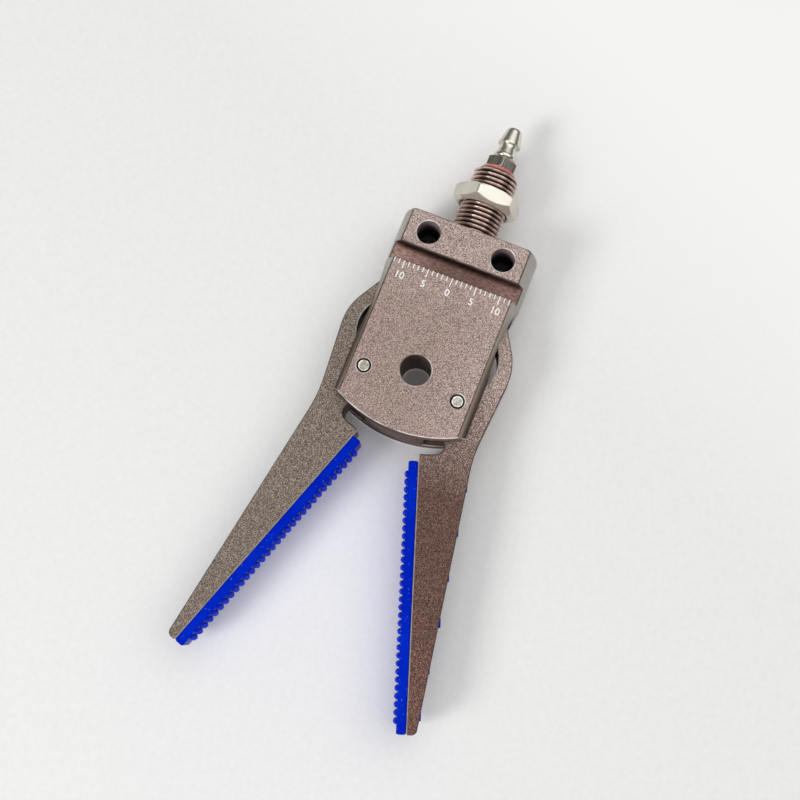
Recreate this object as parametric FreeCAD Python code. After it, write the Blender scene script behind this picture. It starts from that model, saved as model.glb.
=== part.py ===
import FreeCAD, Part
import math
import os

from FreeCAD import Vector

# Single-acting angular gripper for small parts, in millimetres.
# Z runs along the shank, up to the hose barb. X runs across the two fingers and -Y is the front.
# The origin is on the shank axis, in the plane of the bar's top shoulder.
# The fingers are drawn in their open rest pose, as the springs leave them without air.

# Round bar, milled flat front and back
bar_diameter = 30.0
bar_thickness = 15.0
bar_length = 45.0
bar_edge_break = 0.4
bottom_radius = 28.5
waist_depth = 1.24
waist_radius = 40.0
waist_drop = 21.0
front_groove_drop = 7.6
front_groove_width = 3.65
front_groove_depth = 2.5

# Fastening holes in the bar
mount_hole_pitch = 16.4
mount_hole_drop = 4.0
mount_hole_diameter = 5.0
mount_hole_depth = 10.0
drill_point_angle = 118.0
cross_hole_diameter = 6.5
cross_hole_drop = 32.0

# Pivots and the slot that the fingers swing in
pivot_edge_distance = 4.8
pivot_drop = 34.9
pivot_pin_diameter = 3.0
pivot_pin_recess = 0.3
pivot_bush_wall = 0.7
slot_width = 8.0
slot_corner = 1.0
web_cover = 1.75
web_corner = 3.0
open_angle = 19.0

# Finger outline when closed, measured from its pivot, outwards and up
finger_gap_to_axis = 2.87
shoulder_drop = 10.5
shoulder_fillet = 1.9
finger_length = 55.6
tip_thickness = 2.0
tip_corner = 1.2
knee_out = 3.85
knee_drop = 10.1
knee_radius = 30.0
bulge_out = 11.6
bulge_rise = 7.7
bulge_radius = 12.0
crown_out = 9.1
crown_corner = 4.0
neck_out = -1.95
boss_radius = 3.4
nose_gap_to_axis = 0.5
nose_rise = 18.6
nose_radius = 1.6
scallop_out = 0.7
scallop_rise = 9.6
scallop_overlap = 0.1

# Ribbed rubber pad, held by tails pulled through the finger
pad_start = 1.4
pad_base = 2.0
pad_side_margin = 0.1
pad_end_bevel = 0.35
rib_pitch = 1.59
rib_gap = 0.15
rib_facets = 4
rib_end_margin = 2.3
tail_count = 6
tail_diameter = 2.0
tail_first_drop = 6.1
tail_last_rise = 3.5
tail_proud = 0.35
tail_root = 0.5

# Threaded shank, which is the cylinder
shank_diameter = 10.0
shank_height = 15.3
shank_end_bevel = 1.0
spigot_diameter = 8.0
spigot_length = 6.0
cylinder_bore = 6.0
cylinder_top = 9.5

# Lock nut and hose fitting
nut_across_flats = 13.0
nut_height = 3.6
nut_seat_rise = 6.8
nut_turn = 14.5
nut_lower_face = 11.4
nut_upper_face = 13.4
hexagon_bevel_angle = 35.0
port_diameter = 5.0
washer_diameter = 7.5
washer_thickness = 1.0
fitting_stud_length = 4.6
fitting_hex_across_flats = 6.2
fitting_hex_height = 2.3
fitting_hex_turn = 33.0
barb_diameter = 5.0
barb_root_diameter = 3.7
barb_tip_diameter = 3.5
barb_collar_length = 1.3
barb_first_rise = 3.8
barb_length = 7.6
air_passage_diameter = 1.9

# Piston, rod and spreading wedge
piston_stroke = 5.0
piston_length = 4.5
piston_top_gap = 0.3
seal_rise = 2.8
seal_height = 1.4
seal_depth = 1.0
rod_diameter = 3.0
rod_socket = 2.5
rod_bush_wall = 1.0
wedge_tip_half_width = 0.4
wedge_head = 0.5
wedge_socket = 4.5
wedge_pin_diameter = 1.5
wedge_pin_drop = 2.6

# Springs
return_spring_wire = 0.5
return_spring_coils = 6
opening_spring_below_pivot = 5.3
opening_spring_wire = 0.55
opening_spring_diameter = 4.0
opening_spring_coils = 8
opening_spring_bore_gap = 0.2
spring_wire_sides = 5
spring_steps_per_turn = 9

# Clearances
running_gap = 0.05
seat_gap = 0.02
swing_gap = 0.4
side_gap = 0.3
wedge_gap = 0.08
closed_pad_gap = 0.08

# Cutting tools run past the faces they cut by this much, and shorter edges than the last one are dropped
overshoot = 1.0
shortest_edge = 1e-6

# Places worked out from the sizes above
bar_radius = bar_diameter / 2
front = -bar_thickness / 2
back = bar_thickness / 2
pivot_x = bar_radius - pivot_edge_distance
pivot_z = -pivot_drop
finger_thickness = slot_width - 2 * side_gap
face_out = finger_gap_to_axis - pivot_x
tip_rise = -shoulder_drop - finger_length
crown_rise = nose_rise + nose_radius
nose_under = nose_rise - nose_radius
scallop_radius = nose_under + scallop_overlap - scallop_rise
web_half_width = pivot_x - boss_radius - swing_gap
swing_reach = math.hypot(crown_out - crown_corner, crown_rise - crown_corner) + crown_corner
slot_roof = pivot_z + swing_reach + swing_gap
pad_total = finger_gap_to_axis - closed_pad_gap
rib_height = pad_total - pad_base
rib_half_width = (rib_pitch - rib_gap) / 2
swing = math.radians(open_angle)
nose_half_gap = nose_gap_to_axis + nose_radius
nose_in = (pivot_x - nose_rise * math.sin(swing) - nose_half_gap) / math.cos(swing)
opening_spring_z = pivot_z - opening_spring_below_pivot


def at(x, z, y=0.0):
    """A point of the upright plane through the shank axis."""
    return Vector(x, y, z)


def rounded_wire(corners):
    """Closed outline in the XZ plane through corners (x, z, radius), with tangent arcs at the radii."""
    count = len(corners)
    starts = []
    ends = []
    arcs = []
    for i, (x, z, radius) in enumerate(corners):
        corner = at(x, z)
        before = at(*corners[i - 1][:2]) - corner
        after = at(*corners[(i + 1) % count][:2]) - corner
        before.normalize()
        after.normalize()
        half_turn = before.getAngle(after) / 2
        if radius == 0:
            starts.append(corner)
            ends.append(corner)
            arcs.append(None)
            continue
        run = radius / math.tan(half_turn)
        inward = before + after
        inward.normalize()
        middle = corner + inward * (radius / math.sin(half_turn) - radius)
        starts.append(corner + before * run)
        ends.append(corner + after * run)
        arcs.append(middle)
    edges = []
    for i in range(count):
        if arcs[i] is not None:
            edges.append(Part.Arc(starts[i], arcs[i], ends[i]).toShape())
        following = starts[(i + 1) % count]
        if (following - ends[i]).Length > shortest_edge:
            edges.append(Part.LineSegment(ends[i], following).toShape())
    return Part.Wire(edges)


def prism(wire, y_from, y_to):
    """Solid between two planes of constant Y, with the wire as its outline."""
    face = Part.Face(wire)
    face.translate(at(0, 0, y_from))
    return face.extrude(at(0, 0, y_to - y_from))


def plate(corners, thickness):
    """Prism centred on the middle plane."""
    return prism(rounded_wire(corners), -thickness / 2, thickness / 2)


def turned(profile):
    """Solid of revolution about the shank axis from (radius, z) points."""
    points = [at(r, z) for r, z in profile]
    face = Part.Face(Part.makePolygon(points + points[:1]))
    return face.revolve(at(0, 0), at(0, 1), 360)


def across(radius, x, z, y_from=front - overshoot, y_to=back + overshoot):
    """Round bar along Y."""
    return Part.makeCylinder(radius, y_to - y_from, at(x, z, y_from), Vector(0, 1, 0))


def hexagon(across_flats, z_from, height, turn):
    """Hexagonal prism about the shank axis."""
    corner = across_flats / math.sqrt(3)
    angles = [math.radians(turn + 60 * i) for i in range(6)]
    points = [Vector(corner * math.cos(angle), corner * math.sin(angle), z_from) for angle in angles]
    return Part.Face(Part.makePolygon(points + points[:1])).extrude(Vector(0, 0, height))


def coil(wire, mean_radius, length, coils):
    """Compression spring along Z from the origin, with straight rulings between its wire sections."""
    steps = coils * spring_steps_per_turn
    sections = []
    for i in range(steps + 1):
        turn = 2 * math.pi * i / spring_steps_per_turn
        out = Vector(math.cos(turn), math.sin(turn), 0)
        up = Vector(0, 0, 1)
        centre = out * mean_radius + up * (wire / 2 + (length - wire) * i / steps)
        points = []
        for k in range(spring_wire_sides):
            angle = 2 * math.pi * k / spring_wire_sides
            points.append(centre + (out * math.cos(angle) + up * math.sin(angle)) * (wire / 2))
        sections.append(Part.makePolygon(points + points[:1]))
    return Part.makeLoft(sections, True, True)


def mirrored(shape):
    """The same piece on the other side of the shank axis."""
    return shape.mirror(at(0, 0), Vector(1, 0, 0))


def opened(piece):
    """A finger piece drawn closed about its pivot, moved to the right pivot and swung open."""
    placed = piece.copy()
    placed.rotate(at(0, 0), Vector(0, 1, 0), -open_angle)
    placed.translate(at(pivot_x, pivot_z))
    return placed


def nose_centre(closing):
    """Centre of the right finger's nose after it has closed by an angle in radians."""
    turn = swing - closing
    x = -nose_in * math.cos(turn) - nose_rise * math.sin(turn)
    z = -nose_in * math.sin(turn) + nose_rise * math.cos(turn)
    return at(pivot_x + x, pivot_z + z)


# The wedge's flank turns the finger at a steady rate per millimetre of piston travel: it lies one nose
# radius and a small gap inside the path that the nose takes as seen from the wedge.
nose_path = [nose_centre(share * swing) + at(0, share * piston_stroke) for share in (0.0, 0.5, 1.0)]
path_circle = Part.Arc(*nose_path).toShape().Curve
flank_centre = path_circle.Center
flank_radius = path_circle.Radius + nose_radius + wedge_gap


def flank_x(z):
    """Half width of the wedge at height z in the rest pose."""
    return flank_centre.x - math.sqrt(flank_radius ** 2 - (z - flank_centre.z) ** 2)


def flank_z(x):
    """Height of the wedge flank at half width x in the rest pose."""
    return flank_centre.z + math.sqrt(flank_radius ** 2 - (x - flank_centre.x) ** 2)


wedge_tip_z = flank_z(wedge_tip_half_width)
wedge_top_z = nose_path[2].z + nose_radius + wedge_head
wedge_half_width = flank_x(wedge_top_z)
pocket_roof = wedge_top_z + swing_gap
spigot_hole_floor = -spigot_length - seat_gap
piston_top = cylinder_top - piston_top_gap
piston_foot = piston_top - piston_length


def body_block():
    """Flattened round bar with the finger slot, the wedge pocket and all its holes."""
    rim = bar_radius - bar_edge_break
    end = -bar_length
    bar = turned([(0, 0), (rim, 0), (bar_radius, -bar_edge_break), (bar_radius, end), (0, end)])
    half = bar_radius + overshoot
    bottom_sag = bottom_radius - math.sqrt(bottom_radius ** 2 - half ** 2)
    left = at(-half, end + bottom_sag)
    right = at(half, end + bottom_sag)
    bowl = Part.Arc(right, at(0, end), left).toShape()
    sides = Part.makePolygon([left, at(-half, overshoot), at(half, overshoot), right])
    bar = bar.common(prism(Part.Wire([bowl] + sides.Edges), front, back))
    waist_x = bar_radius - waist_depth + waist_radius
    waist = across(waist_radius, waist_x, -waist_drop)
    reach = bar_diameter
    low = end - overshoot
    slot = plate(
        [(-reach, slot_roof, 0), (reach, slot_roof, 0), (reach, low, 0), (-reach, low, 0)],
        slot_width,
    )
    web_top = -cross_hole_drop + cross_hole_diameter / 2 + web_cover
    web = plate(
        [
            (-web_half_width, web_top, web_corner),
            (web_half_width, web_top, web_corner),
            (web_half_width, low - overshoot, 0),
            (-web_half_width, low - overshoot, 0),
        ],
        slot_width,
    )
    pocket_half = wedge_half_width + swing_gap
    pocket = plate(
        [
            (-pocket_half, pocket_roof, slot_corner),
            (pocket_half, pocket_roof, slot_corner),
            (pocket_half, slot_roof - overshoot, 0),
            (-pocket_half, slot_roof - overshoot, 0),
        ],
        slot_width,
    )
    groove_low = -front_groove_drop - front_groove_width
    groove_depth = front_groove_depth + overshoot
    groove_start = Vector(-reach, front - overshoot, groove_low)
    groove = Part.makeBox(2 * reach, groove_depth, front_groove_width, groove_start)
    cuts = [waist, mirrored(waist), slot.cut(web), pocket, groove]
    cuts.append(across(cross_hole_diameter / 2, 0, -cross_hole_drop))
    pin_hole = across(pivot_pin_diameter / 2 + seat_gap, pivot_x, pivot_z)
    cuts += [pin_hole, mirrored(pin_hole)]
    cuts += mount_holes()
    spigot_hole = spigot_diameter / 2 + seat_gap
    spigot_depth = overshoot - spigot_hole_floor
    cuts.append(Part.makeCylinder(spigot_hole, spigot_depth, at(0, spigot_hole_floor)))
    bush_hole = rod_diameter / 2 + running_gap + rod_bush_wall + seat_gap
    bush_depth = spigot_hole_floor - pocket_roof + 2 * overshoot
    cuts.append(Part.makeCylinder(bush_hole, bush_depth, at(0, pocket_roof - overshoot)))
    spring_hole = opening_spring_diameter / 2 + opening_spring_bore_gap
    spring_start = at(-bar_radius, opening_spring_z)
    cuts.append(Part.makeCylinder(spring_hole, bar_diameter, spring_start, Vector(1, 0, 0)))
    return bar.cut(cuts)


def mount_holes():
    """Two blind tapping holes with drilled ends."""
    radius = mount_hole_diameter / 2
    point = radius / math.tan(math.radians(drill_point_angle / 2))
    floor = -mount_hole_depth
    hole = turned([(0, 0), (radius, 0), (radius, floor), (0, floor - point)])
    hole.rotate(at(0, 0), Vector(1, 0, 0), 90)
    hole.translate(at(mount_hole_pitch / 2, -mount_hole_drop, front))
    return [hole, mirrored(hole)]


def threaded_shank():
    """Cylinder tube with a thread crest diameter outside and the port for the fitting on top."""
    crest = shank_diameter / 2
    spigot = spigot_diameter / 2
    bore = cylinder_bore / 2
    port = port_diameter / 2 + seat_gap
    return turned(
        [
            (bore, -spigot_length),
            (spigot, -spigot_length),
            (spigot, 0),
            (crest, 0),
            (crest, shank_height - shank_end_bevel),
            (crest - shank_end_bevel, shank_height),
            (port, shank_height),
            (port, cylinder_top),
            (bore, cylinder_top),
        ]
    )


def bevelled_hexagon(across_flats, z_from, height, turn, lower_face, upper_face):
    """Hexagon with its corners turned down to a round face at each end."""
    corner = across_flats / math.sqrt(3)
    slope = math.tan(math.radians(hexagon_bevel_angle))
    z_to = z_from + height
    turned_ends = turned(
        [
            (0, z_from),
            (lower_face / 2, z_from),
            (corner, z_from + (corner - lower_face / 2) * slope),
            (corner, z_to - (corner - upper_face / 2) * slope),
            (upper_face / 2, z_to),
            (0, z_to),
        ]
    )
    return hexagon(across_flats, z_from, height, turn).common(turned_ends)


def lock_nut():
    """Thin hexagon nut on the shank thread."""
    faces = (nut_lower_face, nut_upper_face)
    blank = bevelled_hexagon(nut_across_flats, nut_seat_rise, nut_height, nut_turn, *faces)
    return blank.cut(Part.makeCylinder(shank_diameter / 2 + seat_gap, nut_height, at(0, nut_seat_rise)))


def sealing_washer():
    """Flat ring under the fitting's hexagon."""
    outer = washer_diameter / 2
    inner = port_diameter / 2 + running_gap
    top = shank_height + washer_thickness
    return turned([(inner, shank_height), (outer, shank_height), (outer, top), (inner, top)])


def barb_fitting():
    """Hose barb turned in one piece with its hexagon and its stud."""
    hex_foot = shank_height + washer_thickness
    hex_top = hex_foot + fitting_hex_height
    stud_foot = shank_height - fitting_stud_length
    blank = hexagon(fitting_hex_across_flats, hex_foot, fitting_hex_height, fitting_hex_turn)
    stud = Part.makeCylinder(port_diameter / 2, hex_foot - stud_foot, at(0, stud_foot))
    barb = barb_diameter / 2
    root = barb_root_diameter / 2
    stem = turned(
        [
            (0, hex_top - overshoot),
            (root, hex_top - overshoot),
            (root, hex_top),
            (barb, hex_top + barb_collar_length / 2),
            (barb, hex_top + barb_collar_length),
            (root, hex_top + barb_first_rise - barb_collar_length / 2),
            (root, hex_top + barb_first_rise),
            (barb, hex_top + barb_first_rise),
            (barb_tip_diameter / 2, hex_top + barb_length),
            (0, hex_top + barb_length),
        ]
    )
    passage_length = hex_top + barb_length - stud_foot
    passage = Part.makeCylinder(air_passage_diameter / 2, passage_length, at(0, stud_foot))
    return stud.fuse([blank, stem]).cut(passage)


def pivot_pin():
    """Dowel through both cheeks, a little below their faces."""
    length = bar_thickness - 2 * pivot_pin_recess
    return across(pivot_pin_diameter / 2, pivot_x, pivot_z, -length / 2, length / 2)


def rod_guide_bush():
    """Bush that guides the rod between the cylinder and the wedge pocket."""
    inner = rod_diameter / 2 + running_gap
    outer = inner + rod_bush_wall
    top = spigot_hole_floor
    return turned([(inner, pocket_roof), (outer, pocket_roof), (outer, top), (inner, top)])


def piston():
    """Piston with a groove for its seal and a socket for the rod."""
    outer = cylinder_bore / 2 - running_gap
    floor = outer - seal_depth
    middle = piston_foot + seal_rise
    half = seal_height / 2 + seat_gap
    blank = turned(
        [
            (0, piston_foot),
            (outer, piston_foot),
            (outer, middle - half),
            (floor, middle - half),
            (floor, middle + half),
            (outer, middle + half),
            (outer, piston_top),
            (0, piston_top),
        ]
    )
    socket_radius = rod_diameter / 2 + seat_gap
    return blank.cut(Part.makeCylinder(socket_radius, rod_socket + seat_gap, at(0, piston_foot)))


def piston_seal():
    """Square ring in the piston's groove."""
    outer = cylinder_bore / 2 - running_gap / 2
    inner = cylinder_bore / 2 - running_gap - seal_depth + seat_gap
    low = piston_foot + seal_rise - seal_height / 2
    top = low + seal_height
    return turned([(inner, low), (outer, low), (outer, top), (inner, top)])


def wedge_pin_hole(radius):
    """Round bar along Y where the wedge is pinned to the rod."""
    return across(radius, 0, wedge_top_z - wedge_pin_drop)


def piston_rod():
    """Rod from the piston down into the wedge, drilled for the pin."""
    foot = wedge_top_z - wedge_socket + seat_gap
    rod = Part.makeCylinder(rod_diameter / 2, piston_foot + rod_socket - foot, at(0, foot))
    return rod.cut(wedge_pin_hole(wedge_pin_diameter / 2 + seat_gap))


def spreader_wedge():
    """Flat wedge with hollow flanks that pushes the two noses apart."""
    tip = wedge_tip_half_width
    top = wedge_half_width
    middle_z = (wedge_tip_z + wedge_top_z) / 2
    middle = flank_x(middle_z)
    right = Part.Arc(at(tip, wedge_tip_z), at(middle, middle_z), at(top, wedge_top_z)).toShape()
    left = Part.Arc(at(-top, wedge_top_z), at(-middle, middle_z), at(-tip, wedge_tip_z)).toShape()
    head = Part.LineSegment(at(top, wedge_top_z), at(-top, wedge_top_z)).toShape()
    foot = Part.LineSegment(at(-tip, wedge_tip_z), at(tip, wedge_tip_z)).toShape()
    blank = prism(Part.Wire([right, head, left, foot]), -finger_thickness / 2, finger_thickness / 2)
    socket = Part.makeCylinder(rod_diameter / 2 + seat_gap, wedge_socket, at(0, wedge_top_z - wedge_socket))
    return blank.cut([socket, wedge_pin_hole(wedge_pin_diameter / 2 + seat_gap)])


def wedge_pin():
    """Dowel that holds the wedge on the rod."""
    half = finger_thickness / 2
    return across(wedge_pin_diameter / 2, 0, wedge_top_z - wedge_pin_drop, -half, half)


def outer_edge(rise):
    """Distance out from the pivot of the finger's tapered outer edge, when closed."""
    tip_out = face_out + tip_thickness
    share = (rise - tip_rise) / (-knee_drop - tip_rise)
    return tip_out + share * (knee_out - tip_out)


def tail_rises():
    """Heights of the pad's tails, from the pivot."""
    first = -shoulder_drop - tail_first_drop
    pitch = (first - tip_rise - tail_last_rise) / (tail_count - 1)
    return [first - pitch * i for i in range(tail_count)]


def finger():
    """Lever with a hooked upper end, a pivot boss and a long tapered finger."""
    outline = plate(
        [
            (face_out, -shoulder_drop, 0),
            (face_out, tip_rise, 0),
            (face_out + tip_thickness, tip_rise, tip_corner),
            (knee_out, -knee_drop, knee_radius),
            (bulge_out, bulge_rise, bulge_radius),
            (crown_out, crown_rise, crown_corner),
            (-nose_in - nose_radius, crown_rise, nose_radius),
            (-nose_in - nose_radius, nose_under, nose_radius),
            (scallop_out, nose_under, 0),
            (scallop_out, 0, 0),
            (-boss_radius, 0, 0),
            (neck_out, -shoulder_drop, shoulder_fillet),
        ],
        finger_thickness,
    )
    half = finger_thickness / 2
    scallop = across(scallop_radius, scallop_out, scallop_rise)
    boss = across(boss_radius, 0, 0, -half, half)
    bush_hole = pivot_pin_diameter / 2 + running_gap + pivot_bush_wall + seat_gap
    lever = outline.cut(scallop).fuse(boss).removeSplitter()
    cuts = [across(bush_hole, 0, 0)]
    tail_hole = tail_diameter / 2 + running_gap
    for rise in tail_rises():
        start = at(face_out - overshoot, rise)
        cuts.append(Part.makeCylinder(tail_hole, bar_diameter, start, Vector(1, 0, 0)))
    return lever.cut(cuts)


def pivot_bush():
    """Bush pressed into the finger, running on the pivot pin."""
    inner = pivot_pin_diameter / 2 + running_gap
    half = finger_thickness / 2
    return across(inner + pivot_bush_wall, 0, 0, -half, half).cut(across(inner, 0, 0))


def pad():
    """Rubber strip with bead-like cross ribs and a row of tails through the finger."""
    top = -shoulder_drop - pad_start
    ribs_face = face_out - pad_base
    count = int((top - tip_rise - 2 * rib_end_margin) / rib_pitch) + 1
    first = (top + tip_rise) / 2 + rib_pitch * (count - 1) / 2
    outline = [at(face_out, tip_rise), at(face_out, top)]
    outline += [at(ribs_face + pad_end_bevel, top), at(ribs_face, top - pad_end_bevel)]
    for i in range(count):
        middle = first - rib_pitch * i
        for k in range(rib_facets + 1):
            turn = math.pi * k / rib_facets
            out = ribs_face - rib_height * math.sin(turn)
            outline.append(at(out, middle + rib_half_width * math.cos(turn)))
    outline += [at(ribs_face, tip_rise + pad_end_bevel), at(ribs_face + pad_end_bevel, tip_rise)]
    half = finger_thickness / 2 - pad_side_margin
    strip = prism(Part.makePolygon(outline + outline[:1]), -half, half)
    tails = []
    for rise in tail_rises():
        root = face_out - tail_root
        length = outer_edge(rise) + tail_proud - root
        tails.append(Part.makeCylinder(tail_diameter / 2, length, at(root, rise), Vector(1, 0, 0)))
    return strip.fuse(tails).removeSplitter()


def piston_return_spring():
    """Spring round the rod, from the cylinder's floor to the piston."""
    mean = cylinder_bore / 2 - running_gap - return_spring_wire
    spring = coil(return_spring_wire, mean, piston_foot - spigot_hole_floor, return_spring_coils)
    spring.translate(at(0, spigot_hole_floor))
    return spring


def opening_spring():
    """Spring across the web that pushes the two finger necks apart."""
    neck_share = opening_spring_below_pivot / shoulder_drop
    neck = -boss_radius + neck_share * (neck_out + boss_radius)
    lean = math.atan2(neck_out + boss_radius, shoulder_drop) + swing
    out = neck / math.cos(swing) + opening_spring_below_pivot * math.tan(swing)
    half_length = pivot_x + out - opening_spring_diameter / 2 * math.tan(lean) - swing_gap
    mean = (opening_spring_diameter - opening_spring_wire) / 2
    spring = coil(opening_spring_wire, mean, 2 * half_length, opening_spring_coils)
    spring.translate(at(0, -half_length))
    spring.rotate(at(0, 0), Vector(0, 1, 0), 90)
    spring.translate(at(0, opening_spring_z))
    return spring


right_finger = opened(finger())
right_pad = opened(pad())
right_pivot_bush = opened(pivot_bush())
right_pivot_pin = pivot_pin()

nodes = {
    "body_block": body_block(),
    "threaded_shank": threaded_shank(),
    "lock_nut": lock_nut(),
    "sealing_washer": sealing_washer(),
    "barb_fitting": barb_fitting(),
    "rod_guide_bush": rod_guide_bush(),
    "right_pivot_pin": right_pivot_pin,
    "left_pivot_pin": mirrored(right_pivot_pin),
    "piston": piston(),
    "piston_seal": piston_seal(),
    "piston_rod": piston_rod(),
    "spreader_wedge": spreader_wedge(),
    "wedge_pin": wedge_pin(),
    "piston_return_spring": piston_return_spring(),
    "opening_spring": opening_spring(),
    "right_finger": right_finger,
    "left_finger": mirrored(right_finger),
    "right_pivot_bush": right_pivot_bush,
    "left_pivot_bush": mirrored(right_pivot_bush),
    "right_pad": right_pad,
    "left_pad": mirrored(right_pad),
}

os.makedirs("parts", exist_ok=True)
for name, shape in nodes.items():
    shape.exportStep(os.path.join("parts", name + ".step"))
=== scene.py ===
import math

import bmesh
import bpy
from mathutils import Matrix, Vector


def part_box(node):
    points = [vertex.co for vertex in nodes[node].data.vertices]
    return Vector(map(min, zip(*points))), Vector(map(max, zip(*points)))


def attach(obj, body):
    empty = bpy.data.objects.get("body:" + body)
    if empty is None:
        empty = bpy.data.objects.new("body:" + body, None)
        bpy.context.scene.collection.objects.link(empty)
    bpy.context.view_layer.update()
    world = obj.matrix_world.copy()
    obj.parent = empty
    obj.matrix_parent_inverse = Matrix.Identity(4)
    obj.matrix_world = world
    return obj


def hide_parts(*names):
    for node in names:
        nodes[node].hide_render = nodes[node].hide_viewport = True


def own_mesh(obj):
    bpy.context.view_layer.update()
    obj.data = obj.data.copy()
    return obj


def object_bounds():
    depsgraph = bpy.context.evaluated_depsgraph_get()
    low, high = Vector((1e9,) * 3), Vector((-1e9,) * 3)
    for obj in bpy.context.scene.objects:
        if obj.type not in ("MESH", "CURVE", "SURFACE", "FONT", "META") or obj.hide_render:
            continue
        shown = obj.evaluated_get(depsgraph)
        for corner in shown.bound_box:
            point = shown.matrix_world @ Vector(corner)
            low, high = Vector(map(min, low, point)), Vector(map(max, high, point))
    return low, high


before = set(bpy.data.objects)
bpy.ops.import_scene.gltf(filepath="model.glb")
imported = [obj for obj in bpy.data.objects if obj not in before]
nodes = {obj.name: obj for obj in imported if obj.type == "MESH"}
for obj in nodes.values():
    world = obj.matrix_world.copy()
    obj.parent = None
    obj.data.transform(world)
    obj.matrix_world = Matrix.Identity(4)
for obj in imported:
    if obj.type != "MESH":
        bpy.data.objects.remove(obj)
cad_low, cad_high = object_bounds()
MM = 0.001


# Body: round aluminium bar milled flat front and back, slotted for the fingers and grooved across the front.
# It is bead-blasted and anodised a brownish grey; the groove, milled after blasting, shows its cutter marks.
def tone(red, green, blue):
    """Linear colour from display values of 0 to 255."""
    shares = [value / 255 for value in (red, green, blue)]
    linear = [v / 12.92 if v <= 0.04045 else ((v + 0.055) / 1.055) ** 2.4 for v in shares]
    return (*linear, 1.0)


def put(tree, socket, value):
    """Socket linked to another socket, or set to a plain value."""
    if isinstance(value, bpy.types.NodeSocket):
        tree.links.new(value, socket)
    else:
        socket.default_value = value


def wired(tree, sockets, **values):
    """Sockets linked or set by name; underscores stand for spaces."""
    for name, value in values.items():
        put(tree, sockets[name.replace("_", " ")], value)


def add(tree, kind, inputs=None, **settings):
    """New node with its settings, and its inputs linked or set by name or place."""
    node = tree.nodes.new(kind)
    for name, value in settings.items():
        setattr(node, name, value)
    for key, value in (inputs or {}).items():
        put(tree, node.inputs[key], value)
    return node


def sums(tree, operation, first, second=0.0, third=0.0):
    """Result of one Math node."""
    return add(tree, "ShaderNodeMath", {0: first, 1: second, 2: third}, operation=operation).outputs[0]


def less(tree, first, second):
    """First value less the second."""
    return sums(tree, "SUBTRACT", first, second)


def times(tree, first, second):
    """First value times the second."""
    return sums(tree, "MULTIPLY", first, second)


def over(tree, value, limit):
    """Mask of one where a value is above its limit."""
    return sums(tree, "GREATER_THAN", value, limit)


def inside(tree, value, limit, *others):
    """Mask of one where a value is below its limit and every other mask is one."""
    mask = sums(tree, "LESS_THAN", value, limit)
    for other in others:
        mask = times(tree, mask, other)
    return mask


def spread(tree, across, along):
    """Distance that two offsets at right angles make."""
    return sums(tree, "SQRT", sums(tree, "MULTIPLY_ADD", across, across, times(tree, along, along)))


def ranged(tree, value, low, high, to_low=0.0, to_high=1.0):
    """Value mapped from one range to another, held at its ends."""
    inputs = {"Value": value, "From Min": low, "From Max": high, "To Min": to_low, "To Max": to_high}
    return add(tree, "ShaderNodeMapRange", inputs).outputs[0]


def blended(tree, share, first, second, mode="MIX"):
    """Result of one colour Mix node."""
    inputs = {"Factor": share, 6: first, 7: second}
    return add(tree, "ShaderNodeMix", inputs, data_type="RGBA", blend_type=mode).outputs[2]


def faded(tree, value, low, high, first, second, most=1.0):
    """Colour that goes from the first toward the second as a value goes from low to high."""
    return blended(tree, ranged(tree, value, low, high, 0.0, most), first, second)


def dimmed(tree, colour, share):
    """Colour times a share of its red, green and blue."""
    return blended(tree, 1.0, colour, share, "MULTIPLY")


def vectors(tree, operation, first, second):
    """Result of one Vector Math node."""
    place = "Scale" if operation == "SCALE" else 1
    node = add(tree, "ShaderNodeVectorMath", {0: first, place: second}, operation=operation)
    return node.outputs["Value" if operation == "DOT_PRODUCT" else "Vector"]


def spot(tree):
    """The point on the piece."""
    return add(tree, "ShaderNodeTexCoord").outputs["Object"]


def parts(tree, point):
    """X, Y and Z of a point."""
    return add(tree, "ShaderNodeSeparateXYZ", {0: point}).outputs


def noise(tree, point, scale, detail, roughness=0.5):
    """Value of one noise texture."""
    inputs = {"Vector": point, "Scale": scale, "Detail": detail, "Roughness": roughness}
    return add(tree, "ShaderNodeTexNoise", inputs).outputs["Fac"]


def marked(tree, name):
    """Value of a mark that the mesh carries."""
    return add(tree, "ShaderNodeAttribute", attribute_name=name).outputs["Fac"]


def effect(name, inputs, outputs):
    """Empty shader group with named sockets; returns it with its inner ends."""
    tree = bpy.data.node_groups.new(name, "ShaderNodeTree")
    kinds = {float: "NodeSocketFloat", tuple: "NodeSocketColor", Vector: "NodeSocketVector"}
    for label, value in inputs.items():
        socket = tree.interface.new_socket(label, in_out="INPUT", socket_type=kinds[type(value)])
        socket.default_value = value
    for label in outputs:
        kind = "NodeSocketColor" if label == "Colour" else "NodeSocketFloat"
        tree.interface.new_socket(label, in_out="OUTPUT", socket_type=kind)
    return tree, tree.nodes.new("NodeGroupInput").outputs, tree.nodes.new("NodeGroupOutput").inputs


def used(tree, group, **inputs):
    """Outputs of an effect placed in a material, with its inputs by name."""
    node = add(tree, "ShaderNodeGroup", node_tree=group)
    wired(tree, node.inputs, **inputs)
    return node.outputs


def finish_named(name):
    """New material with its tree and its Principled shader."""
    material = bpy.data.materials.new(name)
    material.use_nodes = True
    return material, material.node_tree, material.node_tree.nodes["Principled BSDF"]


def bumped(tree, shader, height, depth):
    """Height as relief of a real depth in metres."""
    inputs = {"Height": height, "Distance": depth, "Strength": 1.0}
    wired(tree, shader.inputs, Normal=add(tree, "ShaderNodeBump", inputs).outputs[0])


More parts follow.
